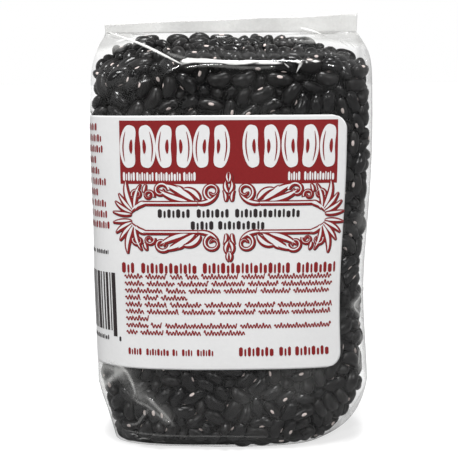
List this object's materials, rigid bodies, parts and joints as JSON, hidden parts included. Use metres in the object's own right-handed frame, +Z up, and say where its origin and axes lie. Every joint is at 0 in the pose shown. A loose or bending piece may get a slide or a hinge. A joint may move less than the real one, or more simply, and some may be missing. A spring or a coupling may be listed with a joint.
{
  "type": "bag of dried beans",
  "caption": "Sealed clear film bag of black dried beans standing on its gusseted base, with a paper label wrapped round its front and one side.",
  "frame": {"origin": "centre of the bounding box, on the plane the bag stands on", "axes": "+X across the bag's width towards the right as seen from the front, -Y towards the front, +Z up"},
  "size_m": [0.1098, 0.0476, 0.1682],
  "materials": {
    "film": "clear glossy packing film, folded double at the header, over the beans",
    "beans": "smooth black seed coat with a satin shine",
    "bean_eyes": "pale matt eye on the inner curve of each bean",
    "paper": "off-white coated label paper",
    "red_ink": "dark red printing ink",
    "dark_ink": "near-black printing ink"
  },
  "bodies": {
    "root": {"bean_bag": "film", "label": "paper"}
  },
  "joints": []
}
